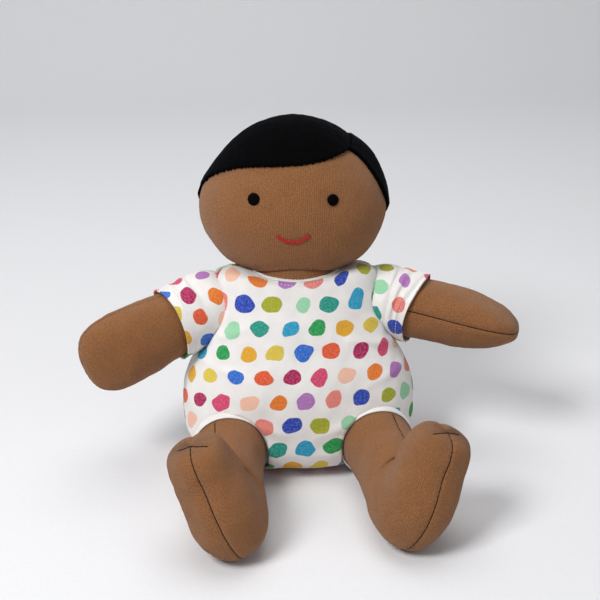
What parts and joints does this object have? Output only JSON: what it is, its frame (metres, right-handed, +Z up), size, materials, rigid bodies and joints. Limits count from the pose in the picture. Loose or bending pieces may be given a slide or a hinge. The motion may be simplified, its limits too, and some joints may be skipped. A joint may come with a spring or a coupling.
{
  "type": "baby doll",
  "caption": "Soft stuffed cloth baby doll that sits, with a knitted skin, short velour hair, a stitched face and a dotted short-sleeved bodysuit.",
  "frame": {"origin": "middle of the flat underside of the seat, on the surface that the doll sits on", "axes": "+Z up, -Y the way the doll faces with its legs forward, +X towards the doll's own left hand"},
  "size_m": [0.2821, 0.2213, 0.2181],
  "materials": {
    "skin_cloth": "fine heathered brown knit, matt",
    "filling": "white polyester fibre filling",
    "hair_cloth": "short black velour pile",
    "eye_thread": "black satin stitch",
    "mouth_thread": "red embroidery thread",
    "dot_cloth": "white cotton jersey printed with dots of many colours",
    "tape_cloth": "white hook and loop tape",
    "bead_cloth": "plain woven pouch filled with plastic beads"
  },
  "bodies": {
    "torso": {"torso_stuffing": "filling", "seat_bead_pouch": "bead_cloth", "torso_skin_front": "skin_cloth", "torso_skin_back": "skin_cloth", "bodysuit_front": "dot_cloth", "bodysuit_back": "dot_cloth", "neck_binding": "dot_cloth", "right_leg_binding": "dot_cloth", "left_leg_binding": "dot_cloth", "loop_tape": "tape_cloth", "hook_tape": "tape_cloth", "back_placket": "dot_cloth"},
    "neck": {"neck_skin": "skin_cloth", "neck_stuffing": "filling"},
    "head": {"head_stuffing": "filling", "face_panel": "skin_cloth", "head_back_panel": "skin_cloth", "hair_fringe": "hair_cloth", "hair_back": "hair_cloth", "right_eye": "eye_thread", "left_eye": "eye_thread", "mouth_stitching": "mouth_thread"},
    "right_arm_root": {"right_arm_gathered_root": "skin_cloth"},
    "right_arm": {"right_arm_stuffing": "filling", "right_arm_upper_panel": "skin_cloth", "right_arm_under_panel": "skin_cloth", "right_sleeve": "dot_cloth"},
    "left_arm_root": {"left_arm_gathered_root": "skin_cloth"},
    "left_arm": {"left_arm_stuffing": "filling", "left_arm_upper_panel": "skin_cloth", "left_arm_under_panel": "skin_cloth", "left_sleeve": "dot_cloth"},
    "right_leg_root": {"right_leg_gathered_root": "skin_cloth"},
    "right_leg": {"right_leg_stuffing": "filling", "right_leg_outer_panel": "skin_cloth", "right_leg_inner_panel": "skin_cloth"},
    "left_leg_root": {"left_leg_gathered_root": "skin_cloth"},
    "left_leg": {"left_leg_stuffing": "filling", "left_leg_outer_panel": "skin_cloth", "left_leg_inner_panel": "skin_cloth"}
  },
  "joints": [
    {"name": "neck_turn", "type": "hinge", "parent": "torso", "child": "neck", "pos_m": [0, 0.01176, 0.11935], "axis": [0, 0.2419, 0.9703], "range_deg": [-34, 46]},
    {"name": "head_nod", "type": "hinge", "parent": "neck", "child": "head", "pos_m": [0, 0.01176, 0.11935], "axis": [0.9945, -0.1014, 0.0253], "range_deg": [-13, 18]},
    {"name": "right_arm_swing", "type": "hinge", "parent": "torso", "child": "right_arm_root", "pos_m": [-0.059, 0.00668, 0.09897], "axis": [0, 0, 1], "range_deg": [-30, 21]},
    {"name": "right_arm_raise", "type": "hinge", "parent": "right_arm_root", "child": "right_arm", "pos_m": [-0.059, 0.00668, 0.09897], "axis": [-0.4226, 0.9063, 0], "range_deg": [-3, 50]},
    {"name": "left_arm_swing", "type": "hinge", "parent": "torso", "child": "left_arm_root", "pos_m": [0.059, 0.00668, 0.09897], "axis": [0, 0, -1], "range_deg": [-25, 26]},
    {"name": "left_arm_raise", "type": "hinge", "parent": "left_arm_root", "child": "left_arm", "pos_m": [0.059, 0.00668, 0.09897], "axis": [-0.342, -0.9397, 0], "range_deg": [-10, 43]},
    {"name": "right_leg_swing", "type": "hinge", "parent": "torso", "child": "right_leg_root", "pos_m": [-0.047, -0.046, 0.0232], "axis": [-1, 0, 0], "range_deg": [-72, 35]},
    {"name": "right_leg_splay", "type": "hinge", "parent": "right_leg_root", "child": "right_leg", "pos_m": [-0.047, -0.046, 0.0232], "axis": [0, 0, -1], "range_deg": [-12, 25]},
    {"name": "left_leg_swing", "type": "hinge", "parent": "torso", "child": "left_leg_root", "pos_m": [0.047, -0.046, 0.0232], "axis": [-1, 0, 0], "range_deg": [-72, 35]},
    {"name": "left_leg_splay", "type": "hinge", "parent": "left_leg_root", "child": "left_leg", "pos_m": [0.047, -0.046, 0.0232], "axis": [0, 0, 1], "range_deg": [-16, 21]}
  ]
}
